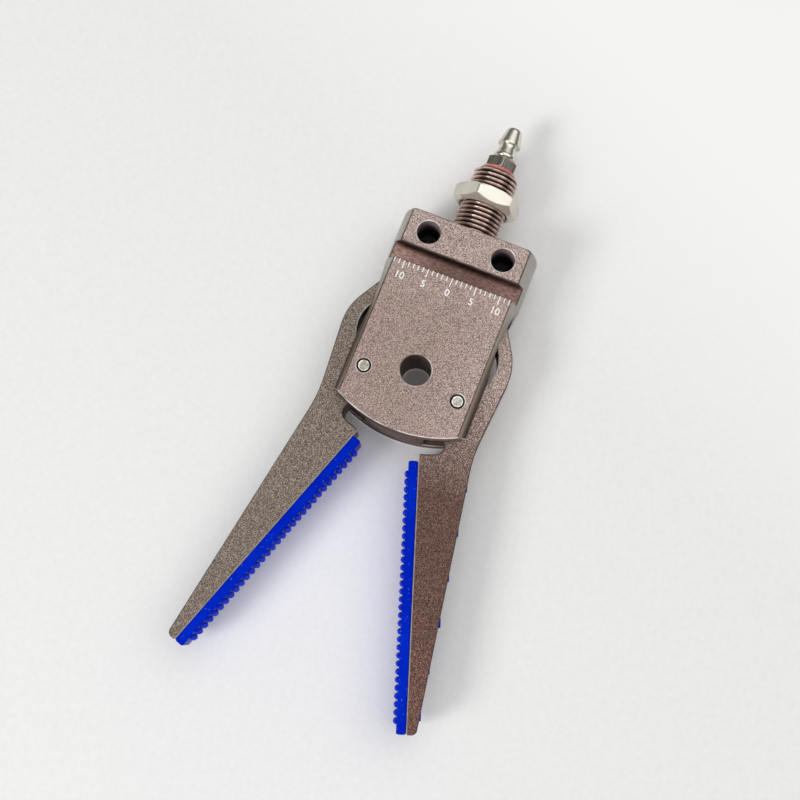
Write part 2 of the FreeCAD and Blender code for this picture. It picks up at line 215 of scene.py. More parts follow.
# Bead blasting: a sand-like skin, dark between the craters and bright on the specks that stand up.
blasting, given, made = effect(
    "Blasted Grain",
    {
        "Ground Colour": tone(140, 122, 116), "Speck Colour": tone(205, 190, 184), "Speck Share": 0.5,
        "Grain": 0.36 * MM,
    },
    ("Colour", "Roughness", "Height"),
)
crater_depth = 0.35
point = spot(blasting)
fineness = sums(blasting, "DIVIDE", 1.0, given["Grain"])
sand = noise(blasting, point, scale=fineness, detail=1.0)
crater = add(blasting, "ShaderNodeTexVoronoi", {"Vector": point, "Scale": fineness}).outputs["Distance"]
height = sums(blasting, "MULTIPLY_ADD", crater, crater_depth, sand)
above_ground = less(blasting, height, less(blasting, 1.0, given["Speck Share"]))
wired(
    blasting, made, Height=height, Roughness=ranged(blasting, sand, 0.3, 0.7, 0.55, 0.4),
    Colour=faded(blasting, above_ground, -0.06, 0.15, given["Ground Colour"], given["Speck Colour"]),
)

# Broken edges: the narrow bevels that a file leaves along the corners, smoother and barer than the faces.
filing, given, made = effect(
    "Filed Edge",
    {
        "Colour": tone(168, 148, 142), "Edge Colour": tone(76, 63, 57), "Roughness": 0.5, "Metal": 0.35,
        "Edge Metal": 0.4,
    },
    ("Colour", "Roughness", "Metallic"),
)
edge_roughness = 0.3
patch = noise(filing, spot(filing), scale=500.0, detail=3.0)
share = times(filing, marked(filing, "broken_edge"), ranged(filing, patch, 0.3, 0.6, 0.6, 1.0))
wired(
    filing, made, Colour=blended(filing, share, given["Colour"], given["Edge Colour"]),
    Roughness=ranged(filing, share, 0.0, 1.0, given["Roughness"], edge_roughness),
    Metallic=ranged(filing, share, 0.0, 1.0, given["Metal"], given["Edge Metal"]),
)

# Cutter marks: fine parallel lines, stretched along the way the tool moved.
cutting, given, made = effect(
    "Cutter Marks",
    {
        "Colour": tone(120, 95, 88), "Line Colour": tone(70, 50, 46),
        "Stretch": Vector((300.0, 3000.0, 3000.0)),
    },
    ("Colour", "Height"),
)
drawn = vectors(cutting, "MULTIPLY", spot(cutting), given["Stretch"])
line = noise(cutting, drawn, scale=1.0, detail=3.0, roughness=0.6)
wired(
    cutting, made, Height=line,
    Colour=faded(cutting, line, 0.35, 0.68, given["Line Colour"], given["Colour"]),
)


def shown(name, data):
    """New object in the scene."""
    thing = bpy.data.objects.new(name, data)
    bpy.context.scene.collection.objects.link(thing)
    return thing


def meshed(name, work):
    """Plain mesh out of a finished working mesh."""
    mesh = bpy.data.meshes.new(name)
    work.to_mesh(mesh)
    work.free()
    return mesh


def smoothed(mesh, degrees):
    """Mesh shaded smooth, except where its faces meet at more than an angle."""
    mesh.polygons.foreach_set("use_smooth", [True] * len(mesh.polygons))
    mesh.set_sharp_from_angle(angle=math.radians(degrees))
    return mesh


def eased_copy(name, node, width):
    """Copy of a machined piece with its edges broken; marks these, and the walls square to its face."""
    one_point = 1e-7
    one_plane = math.radians(0.6)
    corner = math.radians(32)
    wall_lean = 0.3
    work = bmesh.new()
    work.from_mesh(nodes[node].data)
    mark = work.faces.layers.float.new("broken_edge")
    wall = work.faces.layers.float.new("cut_wall")
    bmesh.ops.remove_doubles(work, verts=work.verts, dist=one_point)
    bmesh.ops.dissolve_limit(work, angle_limit=one_plane, verts=work.verts, edges=work.edges)
    corners = [e for e in work.edges if len(e.link_faces) == 2 and e.calc_face_angle() > corner]
    bevels = bmesh.ops.bevel(
        work, geom=corners, offset=width, offset_type="OFFSET", segments=1, affect="EDGES",
    )["faces"]
    for face in work.faces:
        face[wall] = float(abs(face.normal.y) < wall_lean)
    for face in bevels:
        face[mark] = 1.0
    bmesh.ops.triangulate(work, faces=[f for f in work.faces if len(f.verts) > 4])
    mesh = meshed(name, work)
    for layer in ("custom_normal", "sharp_face"):
        if layer in mesh.attributes:
            mesh.attributes.remove(mesh.attributes[layer])
    return shown(name, smoothed(mesh, degrees=18))


def dressed(piece, material):
    """Piece with one material only."""
    piece.data.materials.clear()
    piece.data.materials.append(material)
    return piece


front = cad_low.y
bar_radius = 15.0 * MM
bowl_radius = 28.5 * MM
bowl_z = -16.5 * MM
bowl_roof = -30.0 * MM
groove_top = -7.6 * MM
groove_foot = -11.25 * MM
groove_floor = front + 2.5 * MM
mount_hole_x = 8.2 * MM
mount_hole_z = -4.0 * MM
mount_hole_radius = 2.5 * MM
mount_hole_pitch = 1.0 * MM
cross_hole_z = -32.0 * MM
cross_hole_radius = 3.25 * MM
pivot_x = 10.2 * MM
pivot_z = -34.9 * MM
pin_hole_radius = 1.5 * MM
slot_half_width = 4.0 * MM
slot_roof = -13.4 * MM
edge_break = 0.2 * MM
rim_width = 0.3 * MM
skin = 0.05 * MM

# Where each kind of surface lies on the body.
body_finish, tree, shader = finish_named("anodised_body")
point = spot(tree)
x, y, z = parts(tree, point)
out = sums(tree, "ABSOLUTE", x)
from_middle = sums(tree, "ABSOLUTE", y)
from_axis = spread(tree, x, y)
from_hole = spread(tree, less(tree, out, mount_hole_x), less(tree, z, mount_hole_z))
from_cross_hole = spread(tree, x, less(tree, z, cross_hole_z))
from_pin_hole = spread(tree, less(tree, out, pivot_x), less(tree, z, pivot_z))
from_bowl = spread(tree, x, less(tree, z, bowl_z))
below_face = inside(tree, from_middle, -front - rim_width)
on_round = over(tree, from_axis, bar_radius - skin)
off_round = inside(tree, from_axis, bar_radius - skin)
above_foot = over(tree, z, groove_foot - skin)
above_floor = inside(tree, y, groove_floor + skin)
in_groove = inside(tree, z, groove_top + skin, above_foot, below_face, above_floor)
in_hole = inside(tree, from_hole, mount_hole_radius + skin, below_face)
in_cross_hole = inside(tree, from_cross_hole, cross_hole_radius + skin, below_face)
in_slot = inside(tree, from_middle, slot_half_width + skin, inside(tree, z, slot_roof), off_round)
on_bowl = inside(tree, z, bowl_roof, over(tree, from_bowl, bowl_radius - skin), below_face)
rims = over(tree, from_bowl, bowl_radius - rim_width)
for reach, radius in (
    (from_hole, mount_hole_radius), (from_cross_hole, cross_hole_radius), (from_pin_hole, pin_hole_radius),
):
    rims = sums(tree, "MAXIMUM", rims, inside(tree, reach, radius + rim_width))

# The blasted faces, painted lighter toward the top and the right as painted light, with bevels painted dark
# as a reflection line and rims painted bright as a highlight, broken up by noise.
patch = noise(tree, point, scale=130.0, detail=2.0)
speck = faded(tree, patch, 0.35, 0.65, tone(196, 173, 160), tone(200, 173, 166))
# Painted light: the specks are painted lighter toward the top and toward the right.
top_light_share = ranged(tree, z, -22.0 * MM, -6.0 * MM, 0.0, 0.5)
right_light_share = ranged(tree, x, 2.0 * MM, 11.0 * MM, 0.0, 0.4)
speck = blended(tree, sums(tree, "MAXIMUM", top_light_share, right_light_share), speck, tone(236, 212, 205))
grain = used(
    tree, blasting, Ground_Colour=tone(104, 87, 81), Speck_Colour=speck, Speck_Share=0.35, Grain=0.135 * MM,
)
# Painted reflection and highlight: bevels are painted dark as the dark line they reflect, and the rims round
# the holes and the foot are painted bright as a highlight, broken up by noise.
wear_and_glint_noise = noise(tree, point, scale=240.0, detail=1.0)
rim_glint_tone = faded(tree, wear_and_glint_noise, 0.36, 0.6, tone(150, 136, 127), tone(252, 248, 243))
edge_dark_and_glint_tone = blended(tree, rims, tone(76, 63, 57), rim_glint_tone)
filed = used(
    tree, filing, Colour=grain["Colour"], Edge_Colour=edge_dark_and_glint_tone, Roughness=grain["Roughness"],
    Edge_Metal=0.1,
)

# The turned round, the milled groove and slot, the drilled holes, and the wall round the bowl-shaped foot.
milled = used(
    tree, cutting, Colour=tone(172, 138, 127), Line_Colour=tone(96, 74, 67), Stretch=(900.0, 5200.0, 5200.0),
)
turned = used(
    tree, cutting, Colour=tone(176, 170, 163), Line_Colour=tone(152, 145, 138),
    Stretch=(150.0, 150.0, 6000.0),
)
# Painted shade: below the groove the round sides are painted darker from the front face back toward the
# table, down to near black.
deep_shade = (0.14, 0.11, 0.09, 1)
cheek_shade = faded(tree, y, front, front + 3.2 * MM, (1.0, 0.9, 0.84, 1), deep_shade)
cheek_tone = dimmed(tree, turned["Colour"], cheek_shade)
side_tone = faded(tree, z, -13.5 * MM, -17.5 * MM, turned["Colour"], cheek_tone)
# Painted shadow: the groove's floor is painted darkest just under its upper wall. Along the groove it is
# also darker from the left end toward the middle, and a little lighter again at the right end.
dark_floor = dimmed(tree, milled["Colour"], (0.3, 0.26, 0.26, 1))
floor_tone = faded(tree, z, groove_top, groove_top - 1.0 * MM, dark_floor, milled["Colour"])
floor_tone = faded(tree, x, -12.0 * MM, -3.0 * MM, floor_tone, dark_floor, most=0.72)
floor_tone = faded(tree, x, 5.0 * MM, 11.0 * MM, floor_tone, milled["Colour"], most=0.4)
# Painted light and shade: each turn of the tapped thread is painted as a lit crest and a shaded root, and
# the hole is painted darker deeper in.
turns = sums(tree, "FRACT", sums(tree, "DIVIDE", y, mount_hole_pitch))
hole_thread_light_shade = faded(tree, turns, 0.2, 0.8, tone(84, 64, 66), tone(206, 182, 188))
hole_thread_deep_shade = dimmed(tree, hole_thread_light_shade, (0.05, 0.06, 0.06, 1))
hole_thread_light_shade = faded(tree, y, front + 2.0 * MM, front + 6.0 * MM, hole_thread_light_shade, hole_thread_deep_shade)
# Painted shade: the walls inside the slot and the cross hole are painted darker than the milled metal.
slot_tone = blended(tree, 0.5, milled["Colour"], tone(52, 42, 38))
bore_tone = blended(tree, 0.5, milled["Colour"], tone(70, 58, 48))
# Painted shade: the underside round the foot is painted near black on the left, lightening to half its
# colour toward the right.
bowl_shade = faded(tree, x, -3.0 * MM, 8.0 * MM, deep_shade, (0.5, 0.48, 0.46, 1))
bowl_tone = dimmed(tree, filed["Colour"], bowl_shade)

colour = filed["Colour"]
for mask, next_tone in (
    (on_round, side_tone), (on_bowl, bowl_tone), (in_groove, floor_tone), (in_slot, slot_tone),
    (in_cross_hole, bore_tone), (in_hole, hole_thread_light_shade),
):
    colour = blended(tree, mask, colour, next_tone)
smooth = sums(tree, "MAXIMUM", on_round, in_groove)
gloss = ranged(tree, smooth, 0.0, 1.0, filed["Roughness"], 0.3)
bare = ranged(tree, smooth, 0.0, 1.0, filed["Metallic"], 0.85)
dull = sums(tree, "MAXIMUM", in_hole, on_bowl)
wired(
    tree, shader.inputs, Base_Color=colour, Roughness=ranged(tree, on_bowl, 0.0, 1.0, gloss, 0.9),
    Metallic=ranged(tree, dull, 0.0, 1.0, bare, 0.05),
)
bumped(tree, shader, blended(tree, smooth, grain["Height"], milled["Height"]), depth=0.01 * MM)

body = dressed(eased_copy("body", "body_block", edge_break), body_finish)
blasted_off = 0.005 * MM
for vertex in body.data.vertices:
    vertex.co.y = max(vertex.co.y, front + blasted_off)
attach(body, "housing")
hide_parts("body_block")


# Scale: a row of laser-marked ticks below the groove, every fifth one long, with plain numbers under these.
# The marks are a whitened skin of the metal and stand out by a few thousandths of a millimetre at most.
def growing(name, **inputs):
    """Empty geometry tree with named inputs of given kinds; returns it with its inner ends."""
    tree = bpy.data.node_groups.new(name, "GeometryNodeTree")
    for label, kind in inputs.items():
        tree.interface.new_socket(label.replace("_", " "), in_out="INPUT", socket_type="NodeSocket" + kind)
    tree.interface.new_socket("Geometry", in_out="OUTPUT", socket_type="NodeSocketGeometry")
    return tree, tree.nodes.new("NodeGroupInput").outputs, tree.nodes.new("NodeGroupOutput").inputs


def in_row(tree, given, count, step, scale):
    """Copies of the given geometry set out in a row, each one with its own scale."""
    line = {"Count": given[count], "Start Location": given["Start"], "Offset": step}
    points = add(tree, "GeometryNodeMeshLine", line).outputs[0]
    copies = {"Points": points, "Instance": given["Geometry"], "Scale": scale}
    return add(tree, "GeometryNodeInstanceOnPoints", copies).outputs[0]


def handed_out(tree, geometry, given, made):
    """Geometry made real, coated with the given material and passed out of its tree."""
    real = add(tree, "GeometryNodeRealizeInstances", {0: geometry}).outputs[0]
    coat = {"Geometry": real, "Material": given["Material"]}
    put(tree, made[0], add(tree, "GeometryNodeSetMaterial", coat).outputs[0])


def plain(piece):
    """Plain mesh of a piece as it shows."""
    depsgraph = bpy.context.evaluated_depsgraph_get()
    return bpy.data.meshes.new_from_object(piece.evaluated_get(depsgraph))


def grown(name, tree, start=None, **values):
    """Plain mesh object grown by a geometry tree from the named sizes; underscores stand for spaces."""
    piece = shown(name, start or bpy.data.meshes.new(name))
    growth = piece.modifiers.new(tree.name, "NODES")
    growth.node_group = tree
    for socket in tree.interface.items_tree:
        label = socket.name.replace(" ", "_")
        if socket.in_out == "INPUT" and label in values:
            growth[socket.identifier] = values[label]
    mesh = plain(piece)
    piece.modifiers.clear()
    piece.data = mesh
    return piece


def joined(name, pieces):
    """One mesh object out of several that sit at the origin."""
    work = bmesh.new()
    for piece in pieces:
        work.from_mesh(piece.data)
        bpy.data.objects.remove(piece)
    return shown(name, meshed(name, work))


def quarter(axis):
    """Quarter turn about an axis."""
    return Matrix.Rotation(math.radians(90), 4, axis)


tick_rule, given, made = growing(
    "row_of_ticks", Geometry="Geometry", Ticks="Int", Pitch="Float", Start="Vector", Short="Float",
    Long="Float", Long_Every="Int", First_Long="Int", Material="Material",
)
tree = tick_rule
index = add(tree, "GeometryNodeInputIndex").outputs[0]
counted = sums(tree, "FLOORED_MODULO", less(tree, index, given["First Long"]), given["Long Every"])
is_short = over(tree, counted, 0.5)
length = sums(tree, "MULTIPLY_ADD", is_short, less(tree, given["Short"], given["Long"]), given["Long"])
stretch = add(tree, "ShaderNodeCombineXYZ", {0: 1.0, 1: 1.0, 2: length}).outputs[0]
pace = add(tree, "ShaderNodeCombineXYZ", {0: given["Pitch"]}).outputs[0]
handed_out(tree, in_row(tree, given, "Ticks", pace, stretch), given, made)

mark_finish, tree, shader = finish_named("laser_marks")
fleck = noise(tree, spot(tree), scale=3200.0, detail=3.0)
white = faded(tree, fleck, 0.35, 0.6, tone(226, 220, 216), tone(250, 247, 244))
wired(tree, shader.inputs, Base_Color=white, Roughness=ranged(tree, fleck, 0.3, 0.7, 0.55, 0.75))
bumped(tree, shader, fleck, depth=0.006 * MM)

tick_pitch = 1.05 * MM
tick_count = 25
tick_width = 0.21 * MM
short_tick = 1.05 * MM
long_tick = 1.85 * MM
mark_depth = 0.03 * MM
mark_y = front + mark_depth / 2
tick_top = groove_foot - 0.1 * MM
tick_start = Vector((-tick_pitch * (tick_count - 1) / 2, 0, tick_top))
numeral_height = 1.5 * MM
numeral_share = 0.72
numeral_weight = 0.035 * MM
numeral_gap = 0.45 * MM
numeral_top = tick_top - long_tick - numeral_gap

bar = bmesh.new()
bmesh.ops.create_cube(bar, size=1.0)
tick_size = Matrix.Diagonal((tick_width, mark_depth, 1, 1))
bar.transform(Matrix.Translation((0, mark_y, 0)) @ tick_size @ Matrix.Translation((0, 0, -0.5)))
marks = [
    grown(
        "ticks", tick_rule, meshed("tick", bar), Ticks=tick_count, Pitch=tick_pitch, Start=tick_start,
        Short=short_tick, Long=long_tick, Long_Every=5, First_Long=2, Material=mark_finish,
    )
]
for steps in (-10, -5, 0, 5, 10):
    lettering = bpy.data.curves.new("numeral", "FONT")
    lettering.body = str(abs(steps))
    lettering.align_x = "CENTER"
    lettering.align_y = "TOP"
    lettering.size = numeral_height / numeral_share
    lettering.offset = numeral_weight
    lettering.extrude = mark_depth / 2
    writing = shown("numeral", lettering)
    numeral = plain(writing)
    bpy.data.objects.remove(writing)
    numeral.transform(Matrix.Translation((steps * tick_pitch, mark_y, numeral_top)) @ quarter("X"))
    marks.append(shown("numeral", numeral))
scale_marks = dressed(joined("scale_marks", marks), mark_finish)
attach(scale_marks, "housing")


# Threaded shank: aluminium tube that is also the air cylinder, with a fine thread all the way up outside.
# It is turned, screwed into the body's top and anodised a dark copper tone, worn lighter on the crests;
# toward the roots it is painted darker as painted shade.
thread_rule, given, made = growing(
    "helical_thread", Crest_Radius="Float", Root_Radius="Float", Pitch="Float", Length="Float",
    End_Bevel="Float", Around="Int", Along="Int", Material="Material",
)
tree = thread_rule
size = {"Size X": 1.0, "Size Y": 1.0, "Vertices X": given["Around"], "Vertices Y": given["Along"]}
sheet = add(tree, "GeometryNodeMeshGrid", size).outputs[0]
flat_x, flat_y, _ = parts(tree, add(tree, "GeometryNodeInputPosition").outputs[0])
turn = sums(tree, "ADD", flat_x, 0.5)
rise = times(tree, sums(tree, "ADD", flat_y, 0.5), given["Length"])
phase = sums(tree, "FRACT", less(tree, sums(tree, "DIVIDE", rise, given["Pitch"]), turn))
ridge = sums(tree, "ABSOLUTE", sums(tree, "MULTIPLY_ADD", phase, 2.0, -1.0))
flank = ranged(tree, ridge, 0.12, 0.86)
depth = less(tree, given["Crest Radius"], given["Root Radius"])
radius = sums(tree, "MULTIPLY_ADD", flank, depth, given["Root Radius"])
past = less(tree, rise, less(tree, given["Length"], given["End Bevel"]))
limit = less(tree, given["Crest Radius"], sums(tree, "MAXIMUM", past, 0.0))
radius = sums(tree, "MINIMUM", radius, limit)
angle = times(tree, turn, 2 * math.pi)
on_x = times(tree, radius, sums(tree, "COSINE", angle))
on_y = times(tree, radius, sums(tree, "SINE", angle))
rolled = add(tree, "ShaderNodeCombineXYZ", {0: on_x, 1: on_y, 2: rise}).outputs[0]
tube = add(tree, "GeometryNodeSetPosition", {"Geometry": sheet, "Position": rolled}).outputs[0]
closed = add(tree, "GeometryNodeMergeByDistance", {"Geometry": tube, "Distance": 1e-7}).outputs[0]
handed_out(tree, closed, given, made)

crest_radius = 4.97 * MM
root_radius = 4.38 * MM
thread_pitch = 1.0 * MM
shank_height = 15.3 * MM
shank_bevel = 0.7 * MM
bore_steps_mm = ((2.52, 15.3), (2.52, 9.5), (3.0, 9.5), (3.0, -6.0), (4.0, -6.0), (4.0, 0.0))

thread_finish, tree, shader = finish_named("anodised_thread")
x, y, _ = parts(tree, spot(tree))
crest = ranged(tree, spread(tree, x, y), root_radius, crest_radius)
lines = used(
    tree, cutting, Colour=tone(246, 222, 210), Line_Colour=tone(208, 180, 172),
    Stretch=(260.0, 260.0, 5200.0),
)
# Painted shade: the thread is painted darker toward its roots and lighter toward its crests.
colour = faded(tree, crest, 0.14, 0.72, tone(64, 49, 48), lines["Colour"])
colour = faded(tree, crest, 0.9, 1.0, colour, tone(230, 212, 203), most=0.7)
gloss = ranged(tree, lines["Height"], 0.3, 0.7, 0.2, 0.32)
wired(tree, shader.inputs, Base_Color=colour, Roughness=gloss, Metallic=0.95)
bumped(tree, shader, lines["Height"], depth=0.01 * MM)

shank = grown(
    "shank", thread_rule, Crest_Radius=crest_radius, Root_Radius=root_radius, Pitch=thread_pitch,
    Length=shank_height, End_Bevel=shank_bevel, Around=97, Along=246, Material=thread_finish,
)
work = bmesh.new()
work.from_mesh(shank.data)
ends = [e for e in work.edges if e.is_boundary]
rim = [e for e in ends if e.verts[0].co.z > shank_height / 2]
foot_rim = [e for e in ends if e.verts[0].co.z < shank_height / 2]
for radius_mm, height_mm in bore_steps_mm:
    grown_rim = bmesh.ops.extrude_edge_only(work, edges=rim)["geom"]
    for item in grown_rim:
        if isinstance(item, bmesh.types.BMVert):
            around = Vector((item.co.x, item.co.y, 0)).normalized() * radius_mm * MM
            item.co = around + Vector((0, 0, height_mm * MM))
    rim = [item for item in grown_rim if isinstance(item, bmesh.types.BMEdge) and item.is_boundary]
bmesh.ops.bridge_loops(work, edges=rim + foot_rim)
bmesh.ops.recalc_face_normals(work, faces=work.faces)
work.to_mesh(shank.data)
work.free()
smoothed(shank.data, degrees=40)
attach(shank, "housing")
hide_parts("threaded_shank")


# Lock nut: thin steel hexagon, nickel plated bright, with its corners turned down hardest on the lower side.
# It runs on the shank's thread and clamps the gripper in its bracket.
def spun(name, profile, steps, gap, across_flats=None, turn=0.0):
    """Closed turned mesh about Z from (radius, height) points in mm, held inside a hexagon if given."""
    outline = []
    for (r0, z0), (r1, z1) in zip(profile, profile[1:] + profile[:1]):
        count = max(1, math.ceil(math.hypot(r1 - r0, z1 - z0) / gap))
        outline += [(r0 + (r1 - r0) * i / count, z0 + (z1 - z0) * i / count) for i in range(count)]
    sharpness = 110.0
    softness = 0.05
    flat_zone = 1.5
    work = bmesh.new()
    rings = []
    for i in range(steps):
        around = 2 * math.pi * i / steps
        angle = math.radians(turn) + around
        limit = math.inf
        if across_flats:
            flats = [math.cos(around - math.radians(60 * k + 30)) for k in range(6)]
            near = sum(max(0.0, c) ** sharpness for c in flats) ** (-1 / sharpness)
            limit = across_flats / 2 * near
        ring = []
        for r, height in outline:
            if r > limit - flat_zone:
                r = (r + limit - math.sqrt((r - limit) ** 2 + softness ** 2)) / 2
            ring.append(work.verts.new((r * MM * math.cos(angle), r * MM * math.sin(angle), height * MM)))
        rings.append(ring)
    for here, there in zip(rings, rings[1:] + rings[:1]):
        for k in range(len(outline)):
            after = (k + 1) % len(outline)
            work.faces.new((here[k], there[k], there[after], here[after]))
    bmesh.ops.recalc_face_normals(work, faces=work.faces)
    return shown(name, smoothed(meshed(name, work), degrees=38))


# Bright plating: faint wiping scratches, small knocks and a slow change of gloss over the metal.
plating, given, made = effect(
    "Bright Plating",
    {"Colour": tone(226, 222, 209), "Dull Colour": tone(210, 204, 189), "Gloss Roughness": 0.12},
    ("Colour", "Roughness", "Height"),
)
knock_depth = 5.0
point = spot(plating)
cloud = noise(plating, point, scale=260.0, detail=4.0)
knock = noise(plating, point, scale=1000.0, detail=2.0)
wiped = vectors(plating, "MULTIPLY", point, (900.0, 900.0, 7000.0))
scratch = noise(plating, wiped, scale=1.0, detail=2.0)
wired(
    plating, made, Height=sums(plating, "MULTIPLY_ADD", knock, knock_depth, scratch),
    Roughness=sums(plating, "MULTIPLY_ADD", cloud, 0.14, given["Gloss Roughness"]),
    Colour=faded(plating, cloud, 0.4, 0.7, given["Colour"], given["Dull Colour"], most=0.6),
)

hexagon_foot = 16.3 * MM
hexagon_top = 18.4 * MM
nickel_finish, tree, shader = finish_named("nickel_plate")
z = parts(tree, spot(tree))["Z"]
plate = used(tree, plating, Gloss_Roughness=0.16)
drawn = used(
    tree, cutting, Colour=tone(214, 206, 192), Line_Colour=tone(104, 94, 84),
    Stretch=(3600.0, 3600.0, 260.0),
)
on_hexagon = inside(tree, z, hexagon_top, over(tree, z, hexagon_foot))
worn = blended(tree, times(tree, on_hexagon, 0.75), plate["Colour"], drawn["Colour"])
metal = ranged(tree, z, 11.0 * MM, 14.0 * MM, 0.72, 1.0)
wired(tree, shader.inputs, Base_Color=worn, Roughness=plate["Roughness"], Metallic=metal)
bumped(tree, shader, plate["Height"], depth=0.003 * MM)

nut_foot = 6.8
nut_top = 10.4
nut_corner = 7.5
nut_across_flats = 13.0
nut_turn = 14.5
nut_profile = [
    (5.05, nut_foot + 0.45), (5.5, nut_foot), (5.7, nut_foot), (nut_corner, nut_foot + 1.26),
    (nut_corner, nut_top - 0.56), (6.7, nut_top), (5.5, nut_top), (5.05, nut_top - 0.45),
]
lock_nut = spun(
    "lock_nut_plated", nut_profile, steps=180, gap=0.1, across_flats=nut_across_flats, turn=nut_turn,
)
dressed(lock_nut, nickel_finish)
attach(lock_nut, "housing")
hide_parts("lock_nut")


# Sealing washer: thin red fibre ring squeezed between the shank's end and the fitting's hexagon.
# Its rim bulges a little and has soaked up some oil.
washer_finish, tree, shader = finish_named("red_fibre")
point = spot(tree)
fibre = noise(tree, point, scale=2600.0, detail=4.0)
soaked = noise(tree, point, scale=500.0, detail=2.0)
red = faded(tree, fibre, 0.3, 0.7, tone(213, 116, 106), tone(240, 158, 146))
red = faded(tree, soaked, 0.45, 0.7, red, tone(160, 66, 60), most=0.5)
wired(tree, shader.inputs, Base_Color=red, Roughness=ranged(tree, soaked, 0.3, 0.7, 0.3, 0.5))
bumped(tree, shader, fibre, depth=0.02 * MM)
washer_profile = [
    (2.6, 15.34), (3.45, 15.34), (3.66, 15.5), (3.74, 15.8), (3.66, 16.1), (3.45, 16.27), (2.6, 16.27),
]
washer = dressed(spun("fibre_washer", washer_profile, steps=96, gap=0.3), washer_finish)
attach(washer, "housing")
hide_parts("sealing_washer")


# Hose fitting: turned from brass hexagon bar in one piece with its two barbs, then nickel plated.
# It screws into the top of the shank and the hose is pushed over the barbs.
fitting_across_flats = 6.2
fitting_turn = 33.0
fitting_profile = [
    (0.95, 10.7), (2.5, 10.7), (2.5, 16.32), (3.3, 16.32), (3.62, 16.5), (3.62, 18.3), (3.2, 18.58),
    (1.9, 18.6), (1.85, 18.7), (1.95, 18.9), (2.42, 19.25), (2.5, 19.4), (2.5, 19.85), (2.4, 19.98),
    (1.9, 21.7), (1.85, 22.2), (1.95, 22.4), (2.42, 22.4), (2.5, 22.5), (2.46, 22.75), (1.78, 25.7),
    (1.62, 26.05), (1.3, 26.19), (0.95, 26.19),
]
hose_fitting = spun(
    "hose_fitting", fitting_profile, steps=120, gap=0.22, across_flats=fitting_across_flats,
    turn=fitting_turn,
)
dressed(hose_fitting, nickel_finish)
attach(hose_fitting, "housing")
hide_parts("barb_fitting")


# Pivot pins: ground steel dowels pressed through both cheeks, a little below their faces.
# Their ends are turned slightly hollow; a bright ring is painted on as a highlight, broken by flecks, and
# the bevel is painted near black as the shade in the gap round the pin.
pin_half = 7.2
turning_marks = 38000.0
rim_from, rim_to = 0.86 * MM, 0.98 * MM
bevel_from, bevel_to = 1.1 * MM, 1.16 * MM
pin_finish, tree, shader = finish_named("ground_steel")
point = spot(tree)
x, _, z = parts(tree, point)
from_pin = spread(tree, less(tree, sums(tree, "ABSOLUTE", x), pivot_x), less(tree, z, pivot_z))
plate = used(
    tree, plating, Colour=tone(198, 193, 180), Dull_Colour=tone(162, 156, 143), Gloss_Roughness=0.34,
)
fleck = noise(tree, point, scale=1500.0, detail=2.0)
end_tone = faded(tree, fleck, 0.42, 0.6, plate["Colour"], tone(98, 94, 84), most=0.55)
# Painted highlight and shade: a bright ring near the edge of the hollow end, and a near-black bevel as the
# shade in the gap.
ring_highlight_share = times(tree, ranged(tree, from_pin, rim_from, rim_to), ranged(tree, fleck, 0.4, 0.6, 1.0, 0.2))
end_tone = blended(tree, ring_highlight_share, end_tone, tone(250, 247, 240))
end_tone = faded(tree, from_pin, bevel_from, bevel_to, end_tone, tone(8, 7, 6))
wired(tree, shader.inputs, Base_Color=end_tone, Roughness=plate["Roughness"], Metallic=0.55)
bumped(tree, shader, sums(tree, "SINE", times(tree, from_pin, turning_marks)), depth=0.002 * MM)
pin_end = [(0.02, 0.22), (1.0, 0.0), (1.18, 0.0), (1.24, 0.05), (1.46, 0.42), (1.5, 0.5)]
pin_profile = [(r, -pin_half + inset) for r, inset in pin_end]
pin_profile += [(r, pin_half - inset) for r, inset in reversed(pin_end)]
for side, hand in ((-1, "left"), (1, "right")):
    pin = dressed(spun(hand + "_dowel", pin_profile, steps=48, gap=3.0), pin_finish)
    pin.data.transform(Matrix.Translation((side * pivot_x, 0, pivot_z)) @ quarter("X"))
    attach(pin, "housing")
    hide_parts(hand + "_pivot_pin")


# Fingers: two flat levers wire-cut from aluminium plate, bead-blasted and anodised darker than the body.
# Each hangs on its pivot pin in the body's slot, with its hooked top against the wedge inside.
open_angle = math.radians(19)
closed_face = 2.87 * MM
face_out = closed_face - pivot_x
hollow_out = 0.7 * MM
hollow_rise = 9.6 * MM
hollow_reach = 7.9 * MM
finger_finish, tree, shader = finish_named("anodised_finger")
point = spot(tree)
x, _, z = parts(tree, point)

# The blasted faces: painted light and shade make the right finger warmer and lighter at the top and darker
# in its lower part, and the left finger greyer.
on_right = ranged(tree, x, -1.0 * MM, 1.0 * MM)
# Painted light and shade: the right finger is painted lighter at its top and darker lower down, its ground
# darker too.
lower = ranged(tree, z, -28.0 * MM, -54.0 * MM)
right_lit_shaded_tone = blended(tree, lower, tone(255, 228, 219), tone(156, 114, 98))
right_lit_shaded_tone = faded(tree, z, -70.0 * MM, -95.0 * MM, right_lit_shaded_tone, tone(176, 126, 111))
base = blended(tree, on_right, tone(190, 173, 158), right_lit_shaded_tone)
ground_share = blended(tree, times(tree, on_right, lower), (0.17, 0.155, 0.145, 1), (0.1, 0.09, 0.08, 1))
grain = used(
    tree, blasting, Ground_Colour=dimmed(tree, base, ground_share), Speck_Colour=base, Speck_Share=0.275,
    Grain=0.13 * MM,
)
cut = used(
    tree, cutting, Colour=tone(112, 100, 92), Line_Colour=tone(84, 74, 67), Stretch=(5200.0, 300.0, 5200.0),
)
surface = blended(tree, marked(tree, "cut_wall"), grain["Colour"], cut["Colour"])

